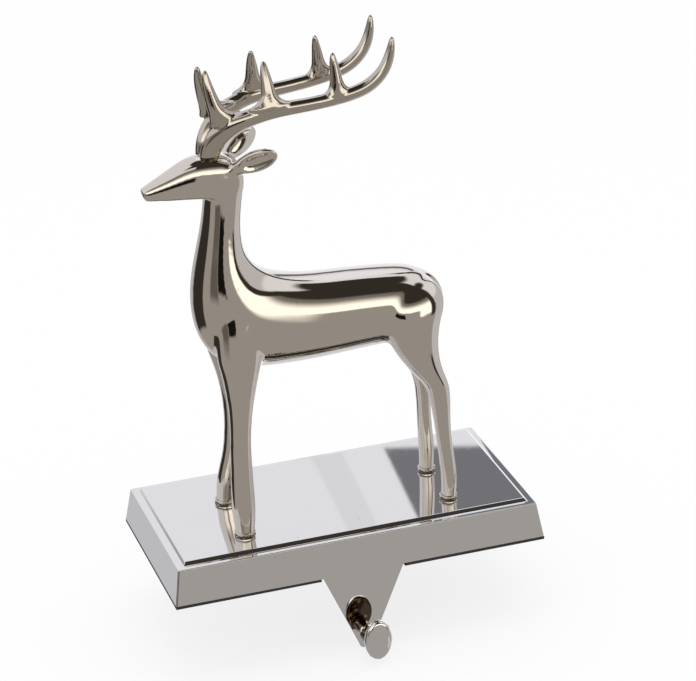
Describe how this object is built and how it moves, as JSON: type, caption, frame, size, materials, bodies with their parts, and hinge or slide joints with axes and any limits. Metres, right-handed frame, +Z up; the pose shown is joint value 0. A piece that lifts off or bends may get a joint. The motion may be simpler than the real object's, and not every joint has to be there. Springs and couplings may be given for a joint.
{
  "type": "mantel stocking holder",
  "caption": "Reindeer figure on a weighted drafted base, with a hanging tab and an oval button hook that holds a stocking in front of a mantel shelf.",
  "frame": {"origin": "centre of the felt pad's underside, the face that stands on the mantel shelf", "axes": "+Z up; X along the base, with the figure facing -X; -Y towards the hook, the side that faces the room"},
  "size_m": [0.16, 0.0976, 0.2591],
  "materials": {
    "base_plating": "mirror-polished nickel plate with small pits and brown specks",
    "figure_plating": "polished nickel plate over a cast figure, slightly warm, dull in the creases",
    "antler_plating": "polished nickel plate, darker at the foot joint",
    "ballast_steel": "sawn and descaled mild steel",
    "screw_steel": "zinc-plated cap screws",
    "black_felt": "pressed black felt"
  },
  "bodies": {
    "root": {"base_casting": "base_plating", "deer_casting": "figure_plating", "left_antler": "antler_plating", "right_antler": "antler_plating", "ballast_plate": "ballast_steel", "figure_screws": "screw_steel", "felt_pad": "black_felt"}
  },
  "joints": []
}
